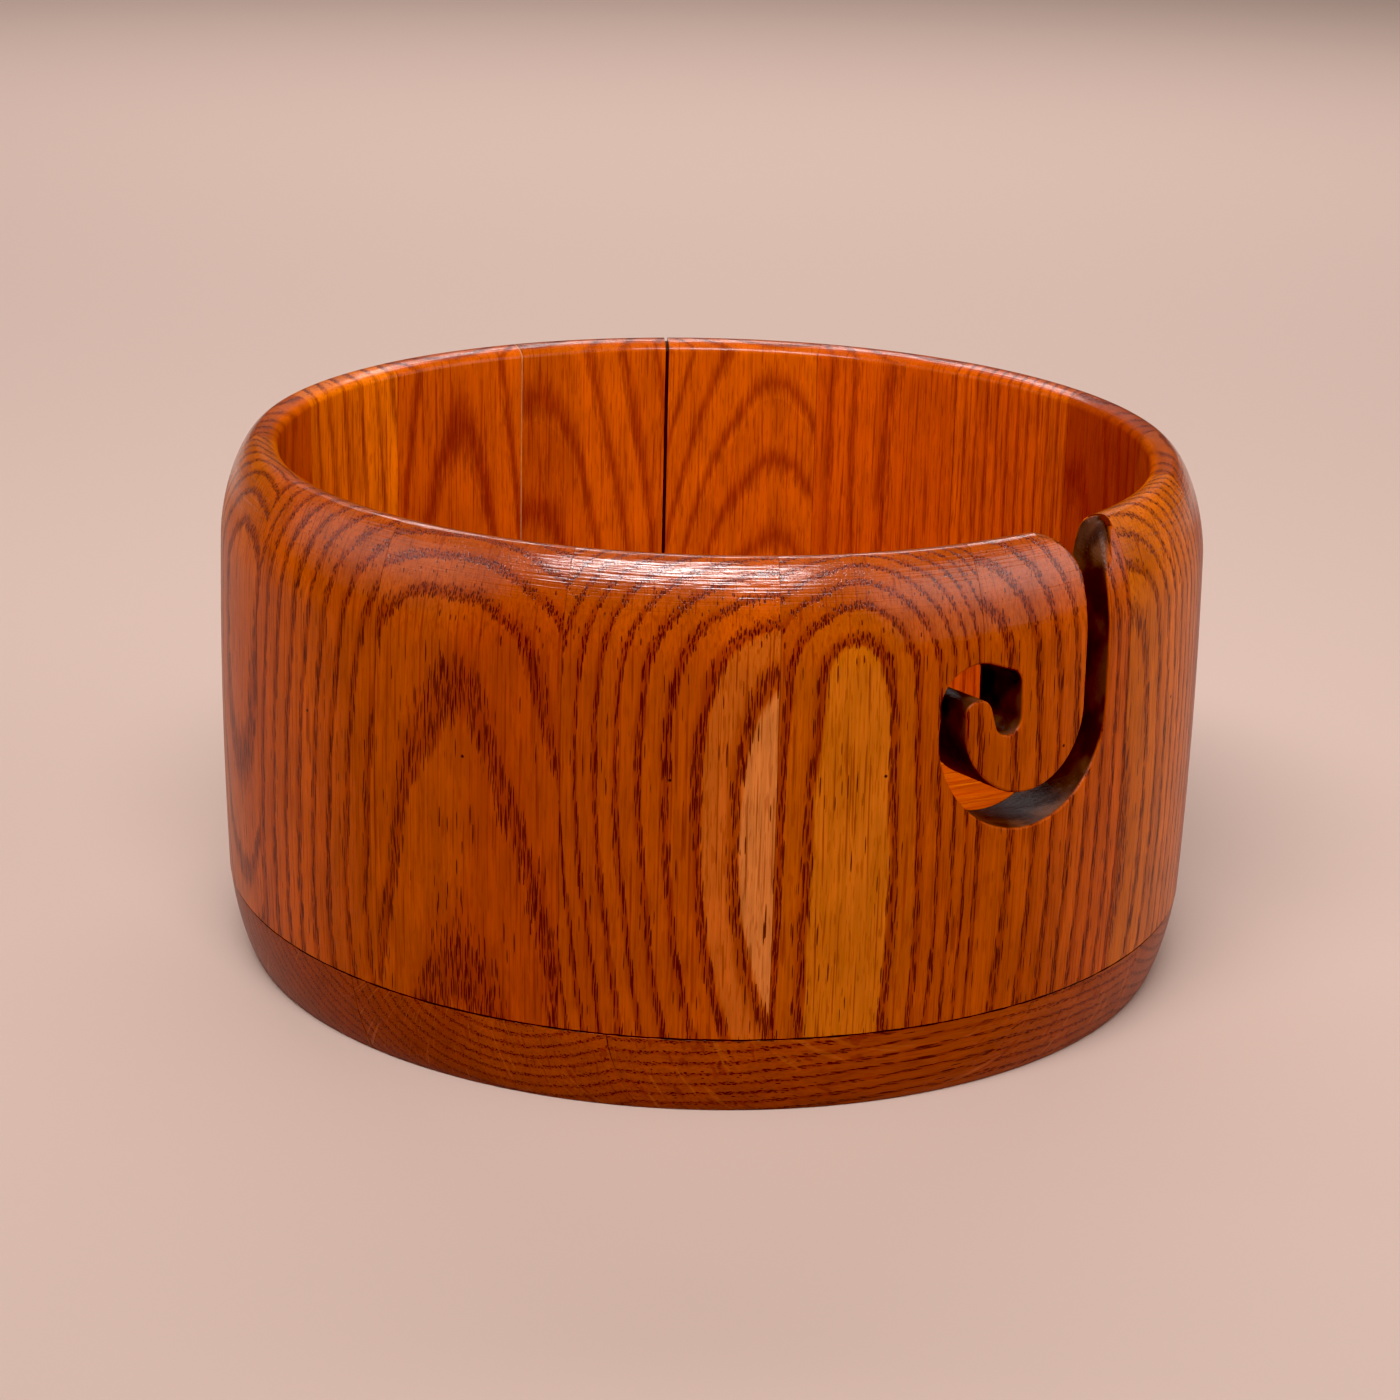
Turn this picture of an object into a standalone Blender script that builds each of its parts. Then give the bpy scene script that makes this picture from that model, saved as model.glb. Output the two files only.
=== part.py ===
"""Yarn bowl: a stave-built, lathe-turned oak bowl with a hook-shaped yarn slot.

Sixteen upright oak staves are glued edge to edge into a ring, and the ring is
glued on a round base of five oak boards.  The outside, the rim and the bore are
turned on a lathe, and the hook slot is sawn straight through the front wall.
The slot crosses two staves, so it parts each of them into two pieces.

Frame: metres, +Z up, origin at the centre of the underside, and the slot faces
-Y.  Azimuths are measured about +Z from -Y towards +X.
"""

import math

import bmesh
import bpy
from mathutils import Vector

# ---------------------------------------------------------------- driving sizes
HEIGHT = 0.1057          # underside to the crest of the rim
BELLY_RADIUS = 0.09977   # widest point of the outside
BELLY_HEIGHT = 0.0569    # height of that widest point
BELLY_SWEEP = 1.037      # radius of the gentle barrel curve of the wall
BORE_RADIUS = 0.0877     # straight inner wall
RIM_RADIUS = 0.0918      # crest of the rim
SHOULDER_DEPTH = 0.0196  # height of the rounding from the wall to the crest
SHOULDER_POWER = 1.61    # superellipse power of that rounding (2 is an ellipse)
LIP_DEPTH = 0.0026       # height of the rounding from the crest to the bore

BASE_THICKNESS = 0.0160
FOOT_RADIUS = 0.0945     # flat underside
FOOT_POWER = 1.36        # superellipse power of the base's turned edge
BOARD_WIDTH = 0.0425     # boards glued edge to edge into the base
BOARD_JOINT = 0.0384     # offset of one joint from the centre
BOARD_ANGLE = -13.0      # azimuth that the boards are laid across, degrees
BOARD_COUNT = 5

STAVE_COUNT = 16
FIRST_SEAM = 14.2        # azimuth of the seam right of the slot, degrees
GLUE_GAP = 0.0003        # between pieces that are glued together

# Slot sizes in the plane of the slot: x across, z up.
SLOT_RIGHT = 0.01745     # right wall of the mouth
SLOT_LEFT = 0.0111       # left wall of the mouth, the edge of the tongue
LIP_ROUND = (0.0060, 0.0125)     # width and height of the rounding right of the mouth
TONGUE_ROUND = (0.0100, 0.0100)  # and of the tongue's top corner
OUTER_CENTRE = (-0.00275, 0.0725)
OUTER_RADIUS = 0.0202
INNER_CENTRE = (-0.0034, 0.0735)
INNER_RADIUS = 0.0143
CURL_TIP_CENTRE = (-0.0149, 0.0755)
CURL_TIP_RADIUS = 0.0030
CURL_TOP_CENTRE = (-0.0150, 0.0775)
CURL_TOP_RADIUS = 0.0078
BULB_CENTRE = (-0.0083, 0.0740)
BULB_RADIUS = 0.0030
BULB_TOP_CENTRE = (-0.0089, 0.0799)
BULB_TOP_RADIUS = 0.0035

# Facets.
STEPS_PER_STAVE = 4
SHOULDER_STEPS = 8
LIP_STEPS = 4
WALL_STEPS = 4
BASE_STEPS = 6
ARC_STEP = 12.0          # degrees per facet on the slot's round stretches

STAVE_COLORS = (
    (0.52, 0.17, 0.030), (0.56, 0.20, 0.038), (0.47, 0.14, 0.024), (0.58, 0.22, 0.045),
)
TONGUE_COLOR = (0.50, 0.16, 0.028)
CURL_COLOR = (0.42, 0.12, 0.020)
BOARD_COLORS = ((0.36, 0.10, 0.022), (0.41, 0.13, 0.028))
VARNISH_ROUGHNESS = 0.28


# --------------------------------------------------------------- turned profile
def belly_radius(z):
    """Outer radius of the wall between the base and the shoulder."""
    return BELLY_RADIUS - (z - BELLY_HEIGHT) ** 2 / (2 * BELLY_SWEEP)


def round_over(inner, outer, power, steps):
    """Superellipse quarter from the outer (radius, z) to the inner one."""
    points = []
    for step in range(steps + 1):
        turn = math.pi / 2 * step / steps
        radius = inner[0] + (outer[0] - inner[0]) * math.cos(turn) ** (2 / power)
        z = outer[1] + (inner[1] - outer[1]) * math.sin(turn) ** (2 / power)
        points.append((radius, z))
    return points


def wall_profile():
    """Closed (radius, z) outline of the stave ring, from the bore over the rim and down."""
    bottom = BASE_THICKNESS + GLUE_GAP
    shoulder_z = HEIGHT - SHOULDER_DEPTH
    lip_z = HEIGHT - LIP_DEPTH
    crest = (RIM_RADIUS, HEIGHT)
    lip = round_over(crest, (BORE_RADIUS, lip_z), 2.0, LIP_STEPS)
    shoulder = round_over(crest, (belly_radius(shoulder_z), shoulder_z), SHOULDER_POWER, SHOULDER_STEPS)
    wall = []
    for step in range(1, WALL_STEPS + 1):
        z = shoulder_z + (bottom - shoulder_z) * step / WALL_STEPS
        wall.append((belly_radius(z), z))
    return [(BORE_RADIUS, bottom)] + lip + shoulder[-2::-1] + wall


def base_profile():
    """Open (radius, z) outline of the base's turned edge, top to bottom."""
    top = (belly_radius(BASE_THICKNESS), BASE_THICKNESS)
    return round_over((FOOT_RADIUS, 0.0), top, FOOT_POWER, BASE_STEPS)


def on_azimuth(radius, degrees, z):
    """Point at a radius and azimuth; azimuth 0 is -Y and turns towards +X."""
    turn = math.radians(degrees)
    return Vector((radius * math.sin(turn), -radius * math.cos(turn), z))


# ----------------------------------------------------------------- slot outline
def arc(centre, radii, start, end):
    """Points on an elliptical arc, in degrees from +x towards +z, both ends included."""
    steps = math.ceil(abs(end - start) / ARC_STEP)
    points = []
    for step in range(steps + 1):
        turn = math.radians(start + (end - start) * step / steps)
        points.append((centre[0] + radii[0] * math.cos(turn), centre[1] + radii[1] * math.sin(turn)))
    return points


def round_arc(centre, radius, start, end):
    """The same for a circle."""
    return arc(centre, (radius, radius), start, end)


def slot_outline():
    """Closed outline of the hook slot, from the mouth's right side round the hook and back."""
    above = HEIGHT + 0.006
    lip = arc((SLOT_RIGHT + LIP_ROUND[0], HEIGHT - LIP_ROUND[1]), LIP_ROUND, 100, 180)
    outer = round_arc(OUTER_CENTRE, OUTER_RADIUS, 0, -190)
    curl_top = round_arc(CURL_TOP_CENTRE, CURL_TOP_RADIUS, 175, 65)
    bulb_top = round_arc(BULB_TOP_CENTRE, BULB_TOP_RADIUS, 60, 0)
    bulb = round_arc(BULB_CENTRE, BULB_RADIUS, 0, -150)
    curl_tip = round_arc(CURL_TIP_CENTRE, CURL_TIP_RADIUS, 20, 170)
    inner = round_arc(INNER_CENTRE, INNER_RADIUS, 175, 360)
    tongue = arc((SLOT_LEFT - TONGUE_ROUND[0], HEIGHT - TONGUE_ROUND[1]), TONGUE_ROUND, 0, 80)
    outline = [(lip[0][0], above)]
    for stretch in (lip, outer, curl_top, bulb_top, bulb, curl_tip, inner, tongue):
        outline.extend(stretch)
    outline.append((tongue[-1][0], above))
    return outline


# ------------------------------------------------------------------- mesh tools
def add_object(name, mesh, color):
    """Link a finished mesh as an object with a varnished oak material of its own."""
    material = bpy.data.materials.new(name + "_oak")
    material.use_nodes = True
    shader = material.node_tree.nodes["Principled BSDF"]
    shader.inputs["Base Color"].default_value = (*color, 1.0)
    shader.inputs["Roughness"].default_value = VARNISH_ROUGHNESS
    shader.inputs["Metallic"].default_value = 0.0
    mesh.materials.clear()
    mesh.materials.append(material)
    mesh.shade_smooth()
    mesh.set_sharp_from_angle(angle=math.radians(35))
    piece = bpy.data.objects.new(name, mesh)
    bpy.context.collection.objects.link(piece)
    return piece


def mesh_from(bm, name):
    """Turn a bmesh into a mesh with its faces pointing outwards."""
    bmesh.ops.recalc_face_normals(bm, faces=bm.faces)
    mesh = bpy.data.meshes.new(name)
    bm.to_mesh(mesh)
    bm.free()
    return mesh


def stave_mesh(number):
    """One stave: the wall outline swept between two seams."""
    profile = wall_profile()
    pitch = 360 / STAVE_COUNT
    clearance = math.degrees(GLUE_GAP / 2 / BELLY_RADIUS)
    start = FIRST_SEAM - pitch * number
    bm = bmesh.new()
    rings = []
    for step in range(STEPS_PER_STAVE + 1):
        azimuth = start + pitch * step / STEPS_PER_STAVE
        azimuth = min(max(azimuth, start + clearance), start + pitch - clearance)
        rings.append([bm.verts.new(on_azimuth(radius, azimuth, z)) for radius, z in profile])
    count = len(profile)
    for near, far in zip(rings, rings[1:]):
        for i in range(count):
            j = (i + 1) % count
            bm.faces.new((near[i], near[j], far[j], far[i]))
    bm.faces.new(rings[0])
    bm.faces.new(rings[-1])
    return mesh_from(bm, "stave")


def board_mesh(near_offset, far_offset):
    """One base board: the turned disc between two chords."""
    across = on_azimuth(1.0, BOARD_ANGLE, 0.0)
    segments = STAVE_COUNT * STEPS_PER_STAVE
    bm = bmesh.new()
    rings = []
    for radius, z in base_profile():
        azimuths = [FIRST_SEAM + 360 * i / segments for i in range(segments)]
        rings.append([bm.verts.new(on_azimuth(radius, azimuth, z)) for azimuth in azimuths])
    for upper, lower in zip(rings, rings[1:]):
        for i in range(segments):
            j = (i + 1) % segments
            bm.faces.new((upper[i], upper[j], lower[j], lower[i]))
    bm.faces.new(rings[0])
    bm.faces.new(rings[-1])
    for offset, side in ((near_offset, -1), (far_offset, 1)):
        if offset is None:
            continue
        whole = list(bm.verts) + list(bm.edges) + list(bm.faces)
        cut = bmesh.ops.bisect_plane(bm, geom=whole, plane_co=across * offset,
                                     plane_no=across * side, clear_outer=True)
        rim = [item for item in cut["geom_cut"] if isinstance(item, bmesh.types.BMEdge)]
        bmesh.ops.edgeloop_fill(bm, edges=rim)
    return mesh_from(bm, "base_board")


def slot_cutter():
    """The hook slot as a solid that runs through the front wall along Y."""
    outline = slot_outline()
    bm = bmesh.new()
    front = [bm.verts.new((x, -BELLY_RADIUS - 0.010, z)) for x, z in outline]
    bm.faces.new(front)
    swept = bmesh.ops.extrude_face_region(bm, geom=list(bm.faces))
    moved = [item for item in swept["geom"] if isinstance(item, bmesh.types.BMVert)]
    bmesh.ops.translate(bm, verts=moved, vec=(0.0, 0.045, 0.0))
    cutter = bpy.data.objects.new("slot_cutter", mesh_from(bm, "slot_cutter"))
    bpy.context.collection.objects.link(cutter)
    cutter.hide_render = True
    cutter.display_type = "WIRE"
    return cutter


def cut_by_slot(mesh, cutter):
    """The two solids that the slot leaves of a stave, the larger one first."""
    blank = bpy.data.objects.new("blank", mesh)
    bpy.context.collection.objects.link(blank)
    saw = blank.modifiers.new("slot", "BOOLEAN")
    saw.operation = "DIFFERENCE"
    saw.solver = "EXACT"
    saw.object = cutter
    view = bpy.context.evaluated_depsgraph_get()
    cut = bpy.data.meshes.new_from_object(blank.evaluated_get(view))
    bpy.data.objects.remove(blank)
    solids = []
    bm = bmesh.new()
    bm.from_mesh(cut)
    left = set(bm.faces)
    while left:
        island = grow_island(left)
        solids.append(copy_faces(island))
    bm.free()
    solids.sort(key=lambda solid: solid.calc_volume(), reverse=True)
    return [mesh_from(solid, "cut_stave") for solid in solids]


def grow_island(left):
    """Take one connected set of faces out of the faces that are left."""
    seed = left.pop()
    island = [seed]
    queue = [seed]
    while queue:
        face = queue.pop()
        for edge in face.edges:
            for other in edge.link_faces:
                if other in left:
                    left.remove(other)
                    island.append(other)
                    queue.append(other)
    return island


def copy_faces(faces):
    """A new bmesh that holds only these faces."""
    solid = bmesh.new()
    made = {}
    for face in faces:
        corners = []
        for vert in face.verts:
            if vert not in made:
                made[vert] = solid.verts.new(vert.co)
            corners.append(made[vert])
        solid.faces.new(corners)
    return solid


# --------------------------------------------------------------------- assembly
def make_staves():
    """Staves 1 and 2 are parted by the slot; the other fourteen are whole."""
    cutter = slot_cutter()
    hook, tongue = cut_by_slot(stave_mesh(1), cutter)
    add_object("stave_01_hook", hook, STAVE_COLORS[1])
    add_object("stave_01_tongue", tongue, TONGUE_COLOR)
    curl, tip = cut_by_slot(stave_mesh(2), cutter)
    add_object("stave_02_curl", curl, STAVE_COLORS[2])
    add_object("stave_02_curl_tip", tip, CURL_COLOR)
    for number in range(3, STAVE_COUNT + 1):
        color = STAVE_COLORS[number % len(STAVE_COLORS)]
        add_object(f"stave_{number:02d}", stave_mesh(number), color)


def make_base():
    """Boards from the front of the bowl to the back, a glue gap between neighbours."""
    joints = [BOARD_JOINT + BOARD_WIDTH * (1 - i) for i in range(BOARD_COUNT - 1)]
    front_offsets = [None] + [joint - GLUE_GAP / 2 for joint in joints]
    back_offsets = [joint + GLUE_GAP / 2 for joint in joints] + [None]
    for i in range(BOARD_COUNT):
        mesh = board_mesh(back_offsets[i], front_offsets[i])
        add_object(f"base_board_{i + 1}", mesh, BOARD_COLORS[i % 2])


for old in list(bpy.data.objects):
    bpy.data.objects.remove(old)
make_staves()
make_base()
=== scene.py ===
"""Looks of the oak yarn bowl: turned staves, hook slot, glued base, floor and light."""

import math

import bpy
from mathutils import Matrix, Vector


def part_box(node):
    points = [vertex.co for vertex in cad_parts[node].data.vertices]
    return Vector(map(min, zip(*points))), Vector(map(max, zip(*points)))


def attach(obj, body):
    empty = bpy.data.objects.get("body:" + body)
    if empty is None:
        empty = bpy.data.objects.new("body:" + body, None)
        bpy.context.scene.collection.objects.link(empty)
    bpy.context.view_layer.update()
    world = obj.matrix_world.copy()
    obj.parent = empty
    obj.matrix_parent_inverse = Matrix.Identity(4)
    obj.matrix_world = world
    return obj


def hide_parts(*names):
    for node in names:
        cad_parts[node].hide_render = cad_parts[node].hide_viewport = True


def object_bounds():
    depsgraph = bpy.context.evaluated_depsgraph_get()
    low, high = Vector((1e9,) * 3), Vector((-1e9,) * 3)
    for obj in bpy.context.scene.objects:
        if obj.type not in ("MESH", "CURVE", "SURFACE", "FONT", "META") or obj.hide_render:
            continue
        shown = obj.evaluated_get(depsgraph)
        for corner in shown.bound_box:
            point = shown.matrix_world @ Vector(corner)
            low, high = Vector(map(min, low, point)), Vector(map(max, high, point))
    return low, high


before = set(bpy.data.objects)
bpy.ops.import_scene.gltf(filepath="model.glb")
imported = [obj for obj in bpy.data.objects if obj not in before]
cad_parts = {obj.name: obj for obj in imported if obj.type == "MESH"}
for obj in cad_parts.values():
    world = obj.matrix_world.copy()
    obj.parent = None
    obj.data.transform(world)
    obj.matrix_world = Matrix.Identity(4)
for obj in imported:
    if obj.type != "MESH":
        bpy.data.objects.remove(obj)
cad_low, cad_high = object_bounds()


# ---------------------------------------------------------------------- camera
# A short portrait lens, a little above the rim and to the left of the hook
# slot, turned slightly about its own axis.
camera_azimuth = math.radians(-38.0)
camera_height = math.radians(18.27)
camera_distance = 0.683
camera_lens = 84.5
camera_roll = math.radians(1.44)
aim_height = 0.0487
aim_aside = -0.0016

camera_back = Vector((math.sin(camera_azimuth) * math.cos(camera_height),
                      -math.cos(camera_azimuth) * math.cos(camera_height),
                      math.sin(camera_height)))
camera_right = Vector((math.cos(camera_azimuth), math.sin(camera_azimuth), 0.0))
camera_aim = camera_right * aim_aside + Vector((0.0, 0.0, aim_height))
bpy.ops.object.camera_add(location=camera_aim + camera_back * camera_distance)
camera = bpy.context.object
camera.name = "bowl_camera"
camera.data.lens = camera_lens
camera.data.sensor_width = 36.0
camera.data.clip_start = 0.02
look = (-camera_back).to_track_quat("-Z", "Y").to_matrix() @ Matrix.Rotation(camera_roll, 3, "Z")
camera.rotation_euler = look.to_euler()
bpy.context.scene.camera = camera
grade = bpy.context.scene.view_settings
grade.view_transform = "Standard"
grade.use_curve_mapping = True
grade.curve_mapping.black_level = (0.006, 0.012, 0.012)
grade.curve_mapping.update()


# ---------------------------------------------------------------------- staves
# Sixteen upright oak staves, mitred and glued into a ring, then turned: a gentle
# barrel outside, a deep rounding up to the crest and a straight bore.  Stained
# orange-brown and varnished, so the open pores and growth rings stand out dark.
rim_height = cad_high.z
belly_radius = 0.09977
belly_height = 0.0569
belly_sweep = 1.037
bore_radius = 0.0877
crest_radius = 0.0918
shoulder_depth = 0.0196
shoulder_power = 1.61
lip_depth = 0.0026
base_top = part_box("base_board_3")[1].z
stave_pitch = 22.5
first_seam = 14.2
glue_width = 0.00012
arris = 0.00015
joint_gaps = {9: 0.0003, 10: 0.0009}
face_radius = 99.4
lean_length = 40.0
lean_level = 57.0

EARLYWOOD = (0.150, 0.0150, 0.0015)
OPEN_PORE = (0.050, 0.0050, 0.0015)
RAY_LINE = (0.13, 0.013, 0.0015)
PALE_RAY = (0.34, 0.080, 0.016)
# Lighter tone of the bore: partly the wood's own, partly painted light for the brighter inside of the bowl.
BORE_TONE_AND_LIGHT = (1.24, 1.26, 1.0)
SOOT = (0.020, 0.006, 0.003)


def belly(z):
    """Outer radius of the barrel-shaped wall."""
    return belly_radius - (z - belly_height) ** 2 / (2 * belly_sweep)


def round_over(inner, outer, power, steps):
    """Superellipse quarter from the outer (radius, z) to the inner one."""
    points = []
    for step in range(steps + 1):
        turn = math.pi / 2 * step / steps
        radius = inner[0] + (outer[0] - inner[0]) * max(math.cos(turn), 0.0) ** (2 / power)
        z = outer[1] + (inner[1] - outer[1]) * math.sin(turn) ** (2 / power)
        points.append((radius, z))
    return points


def wall_section(inset=0.0):
    """Closed (radius, z) section of the wall, from the bore's foot over the rim and down."""
    foot = base_top + glue_width + inset
    shoulder_z = rim_height - shoulder_depth
    crest = (crest_radius, rim_height - inset)
    lip = round_over(crest, (bore_radius + inset, rim_height - lip_depth), 2.0, 10)
    shoulder = round_over(crest, (belly(shoulder_z) - inset, shoulder_z), shoulder_power, 26)
    wall = []
    wall_steps = 24
    for step in range(1, wall_steps + 1):
        z = shoulder_z + (foot + arris - shoulder_z) * step / wall_steps
        wall.append((belly(z) - inset, z))
    bore = []
    for step in range(wall_steps):
        z = foot + (rim_height - lip_depth - foot) * step / wall_steps
        bore.append((bore_radius + inset, z))
    return bore + lip + shoulder[-2::-1] + wall + [(belly(foot) - inset - arris, foot)]


def on_azimuth(radius, degrees, z):
    """Point at a radius and azimuth; azimuth 0 is -Y, the side of the slot."""
    turn = math.radians(degrees)
    return Vector((radius * math.sin(turn), -radius * math.cos(turn), z))


def spin_section(name, section, start, end, steps):
    """Draw a section of the wall at one azimuth and spin it to another, as a closed solid."""
    bpy.ops.object.select_all(action="DESELECT")
    bpy.ops.mesh.primitive_circle_add(vertices=len(section), radius=crest_radius, fill_type="NGON")
    solid = bpy.context.object
    solid.name = name
    for vert, (radius, z) in zip(solid.data.vertices, section):
        vert.co = on_azimuth(radius, start, z)
    bpy.ops.object.mode_set(mode="EDIT")
    bpy.ops.mesh.select_all(action="SELECT")
    bpy.ops.mesh.spin(steps=steps, angle=math.radians(start - end), center=(0, 0, 0), axis=(0, 0, 1))
    bpy.ops.mesh.select_all(action="SELECT")
    bpy.ops.mesh.normals_make_consistent(inside=False)
    bpy.ops.object.mode_set(mode="OBJECT")
    bpy.ops.object.transform_apply()
    bpy.ops.object.shade_smooth_by_angle(angle=math.radians(30))
    return solid


def sum_node(tree, kind, first, second=None, third=None):
    """A Math node; each input is a number or another node's output."""
    node = tree.nodes.new("ShaderNodeMath")
    node.operation = kind
    for socket, value in zip(node.inputs, (first, second, third)):
        if value is None:
            continue
        if isinstance(value, (int, float)):
            socket.default_value = value
        else:
            tree.links.new(value, socket)
    return node.outputs[0]


def ease_node(tree, value, low, high, to_low=0.0, to_high=1.0):
    """A smooth step of a value between two limits; the limits may be other outputs."""
    node = tree.nodes.new("ShaderNodeMapRange")
    node.interpolation_type = "SMOOTHSTEP"
    for socket, given in zip(node.inputs[:5], (value, low, high, to_low, to_high)):
        if isinstance(given, (int, float)):
            socket.default_value = given
        else:
            tree.links.new(given, socket)
    return node.outputs[0]


def tint_node(tree, amount, first, second, kind="MIX"):
    """A colour mix; the amount and each colour are values or outputs."""
    node = tree.nodes.new("ShaderNodeMix")
    node.data_type = "RGBA"
    node.blend_type = kind
    node.clamp_result = True
    for socket, given in ((node.inputs[0], amount), (node.inputs[6], first), (node.inputs[7], second)):
        if isinstance(given, (int, float)):
            socket.default_value = given
        elif isinstance(given, tuple):
            socket.default_value = (*given, 1.0)
        else:
            tree.links.new(given, socket)
    return node.outputs[2]


def grain_noise(tree, place, across, along, seed, detail=1.0, deep=None):
    """Noise drawn out along the fibres; the counts are features per millimetre."""
    stretch = tree.nodes.new("ShaderNodeVectorMath")
    stretch.operation = "MULTIPLY_ADD"
    tree.links.new(place, stretch.inputs[0])
    stretch.inputs[1].default_value = (across, across if deep is None else deep, along)
    stretch.inputs[2].default_value = (seed * 3.7, seed * 1.9, seed * 5.3)
    noise = tree.nodes.new("ShaderNodeTexNoise")
    noise.inputs["Scale"].default_value = 1.0
    noise.inputs["Detail"].default_value = detail
    tree.links.new(stretch.outputs[0], noise.inputs["Vector"])
    return noise.outputs[0]


def growth_rings(tree, place, board):
    """Count of growth rings from the pith to a place in the board, in millimetres."""
    split = tree.nodes.new("ShaderNodeSeparateXYZ")
    tree.links.new(place, split.inputs[0])
    across, outward, along = split.outputs
    rise = sum_node(tree, "MULTIPLY_ADD", along, 1 / lean_length, -lean_level / lean_length)
    aside = sum_node(tree, "MULTIPLY_ADD", rise, -board["bend"], -board["lean"][0])
    aside = sum_node(tree, "MULTIPLY_ADD", aside, rise, -board["pith"][0])
    aside = sum_node(tree, "MULTIPLY", sum_node(tree, "ADD", across, aside), board["oval"])
    depth = sum_node(tree, "MULTIPLY_ADD", rise, board["bow"], board["lean"][1])
    depth = sum_node(tree, "MULTIPLY_ADD", depth, rise, board["pith"][1] + face_radius)
    depth = sum_node(tree, "ADD", depth, outward)
    distance = sum_node(tree, "SQRT", sum_node(tree, "MULTIPLY_ADD", aside, aside,
                                               sum_node(tree, "MULTIPLY", depth, depth)))
    wave = grain_noise(tree, place, 0.06, 0.02, board["seed"], 2.0)
    distance = sum_node(tree, "MULTIPLY_ADD", wave, board["wave"],
                        sum_node(tree, "ADD", distance, -board["wave"] / 2))
    ring = sum_node(tree, "POWER", sum_node(tree, "DIVIDE", distance, board["ring"]), board["narrowing"])
    return sum_node(tree, "ADD", ring, board["phase"])


def early_band(tree, ring, sharp, fade):
    """The porous early part of each growth ring: a sharp start that fades outwards."""
    part = sum_node(tree, "FRACT", ring)
    fading = ease_node(tree, part, fade, 0.18)
    return sum_node(tree, "MULTIPLY", ease_node(tree, part, 0.0, sharp), fading)


def open_pores(tree, place, board, per_mm, length, size, least, most):
    """Separate vessels along the fibres, crowded into the early bands."""
    scale = (per_mm, per_mm, 1 / length)
    seed = board["seed"]
    shift = (seed * 7.1, seed * 2.3, seed * 4.9)
    cells = tree.nodes.new("ShaderNodeVectorMath")
    cells.operation = "MULTIPLY_ADD"
    tree.links.new(place, cells.inputs[0])
    cells.inputs[1].default_value = scale
    cells.inputs[2].default_value = shift
    vessels = tree.nodes.new("ShaderNodeTexVoronoi")
    vessels.inputs["Scale"].default_value = 1.0
    tree.links.new(cells.outputs[0], vessels.inputs["Vector"])
    centre = tree.nodes.new("ShaderNodeVectorMath")
    centre.operation = "MULTIPLY_ADD"
    tree.links.new(vessels.outputs["Position"], centre.inputs[0])
    centre.inputs[1].default_value = tuple(1 / value for value in scale)
    centre.inputs[2].default_value = tuple(-offset / value for offset, value in zip(shift, scale))
    band = early_band(tree, growth_rings(tree, centre.outputs[0], board), 0.02, 0.45)
    chance = tree.nodes.new("ShaderNodeSeparateXYZ")
    tree.links.new(vessels.outputs["Color"], chance.inputs[0])
    crowd = ease_node(tree, band, 0.0, 1.0, least, most)
    there = sum_node(tree, "LESS_THAN", chance.outputs[0], crowd)
    reach = ease_node(tree, chance.outputs[1], 0.0, 1.0, size * 0.65, size)
    inside = ease_node(tree, sum_node(tree, "SUBTRACT", reach, vessels.outputs["Distance"]), 0.0, 0.08)
    return sum_node(tree, "MULTIPLY", there, inside)


def ray_flecks(tree, place, board):
    """Pale rays that run out from the pith, as they show on a crosscut end."""
    split = tree.nodes.new("ShaderNodeSeparateXYZ")
    tree.links.new(place, split.inputs[0])
    bearing = sum_node(tree, "ARCTAN2", sum_node(tree, "ADD", split.outputs[0], -board["pith"][0]),
                       sum_node(tree, "ADD", split.outputs[1], board["pith"][1] + face_radius))
    spokes = tree.nodes.new("ShaderNodeCombineXYZ")
    tree.links.new(sum_node(tree, "MULTIPLY", bearing, 90.0), spokes.inputs[0])
    tree.links.new(sum_node(tree, "MULTIPLY", split.outputs[1], 0.10), spokes.inputs[1])
    tree.links.new(sum_node(tree, "MULTIPLY", split.outputs[2], 0.06), spokes.inputs[2])
    noise = tree.nodes.new("ShaderNodeTexNoise")
    noise.inputs["Scale"].default_value = 1.0
    noise.inputs["Detail"].default_value = 1.0
    tree.links.new(spokes.outputs[0], noise.inputs["Vector"])
    return ease_node(tree, noise.outputs[0], 0.64, 0.70)


def bowl_place(tree, coordinates):
    """Height above the table and distance from the bowl's axis, in millimetres."""
    split = tree.nodes.new("ShaderNodeSeparateXYZ")
    tree.links.new(coordinates, split.inputs[0])
    level = sum_node(tree, "MULTIPLY", split.outputs[2], 1000.0)
    flat = tree.nodes.new("ShaderNodeVectorMath")
    flat.operation = "MULTIPLY"
    flat.inputs[1].default_value = (1000, 1000, 0)
    tree.links.new(coordinates, flat.inputs[0])
    radius = tree.nodes.new("ShaderNodeVectorMath")
    radius.operation = "LENGTH"
    tree.links.new(flat.outputs[0], radius.inputs[0])
    return level, radius.outputs["Value"]


def pin_marks(tree, place):
    """Small dark dots, far apart, as pin knots leave."""
    pins = tree.nodes.new("ShaderNodeTexVoronoi")
    pins.inputs["Scale"].default_value = 1 / 11
    tree.links.new(place, pins.inputs["Vector"])
    chance = tree.nodes.new("ShaderNodeSeparateXYZ")
    tree.links.new(pins.outputs["Color"], chance.inputs[0])
    return sum_node(tree, "MULTIPLY", ease_node(tree, pins.outputs["Distance"], 0.045, 0.030),
                    sum_node(tree, "LESS_THAN", chance.outputs[0], 0.22))


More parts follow.
